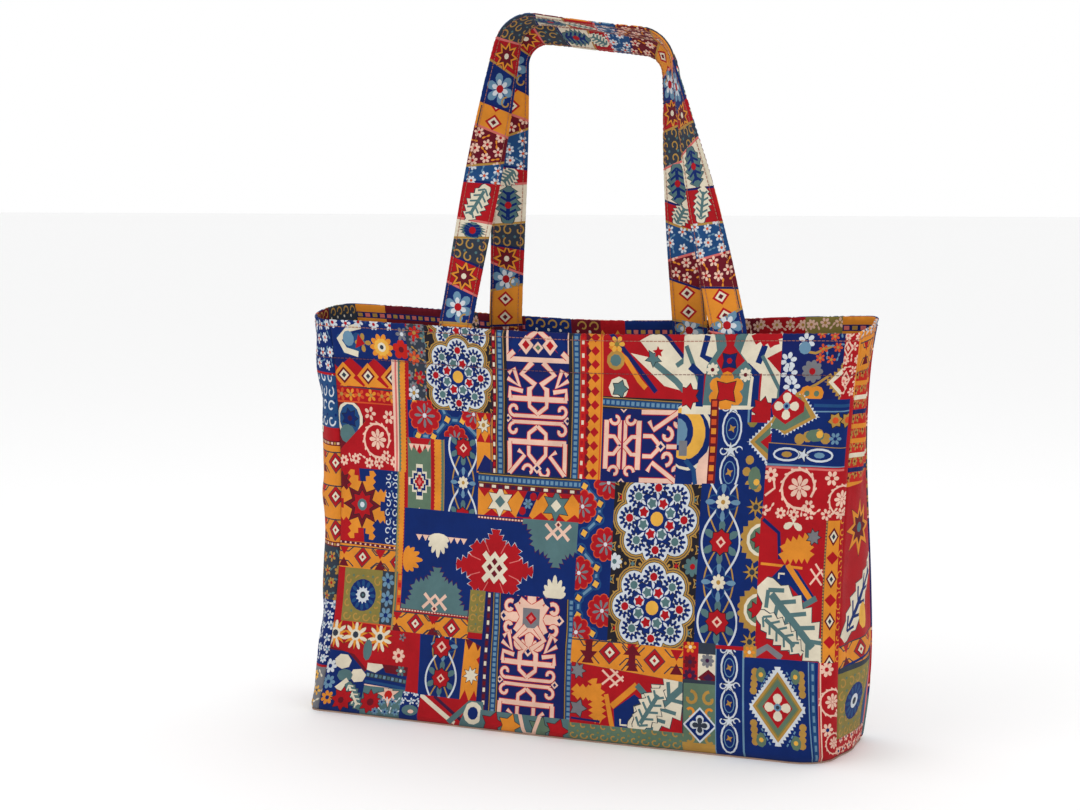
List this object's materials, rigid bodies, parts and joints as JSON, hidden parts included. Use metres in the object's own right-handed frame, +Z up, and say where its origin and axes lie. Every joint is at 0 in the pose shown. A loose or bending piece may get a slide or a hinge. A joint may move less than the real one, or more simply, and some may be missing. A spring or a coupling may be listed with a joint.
{
  "type": "shoulder bag",
  "caption": "Soft open-top patchwork cloth shoulder bag with a box bottom, side gussets, a turned hem and flat strap handles.",
  "frame": {"origin": "on the ground under the middle of the bag's outer box", "axes": "+Z up, the front panel faces -Y, the bag is longest along X"},
  "size_m": [0.4894, 0.1359, 0.5774],
  "materials": {
    "patchwork_cloth": "woven cotton printed as patchwork of red, navy, orange, cream and teal",
    "strap_cloth": "the same cloth folded and stitched as a strap"
  },
  "bodies": {
    "root": {"front_panel": "patchwork_cloth", "back_panel": "patchwork_cloth", "left_gusset": "patchwork_cloth", "right_gusset": "patchwork_cloth", "base_panel": "patchwork_cloth", "front_handle": "strap_cloth", "back_handle": "strap_cloth"}
  },
  "joints": []
}
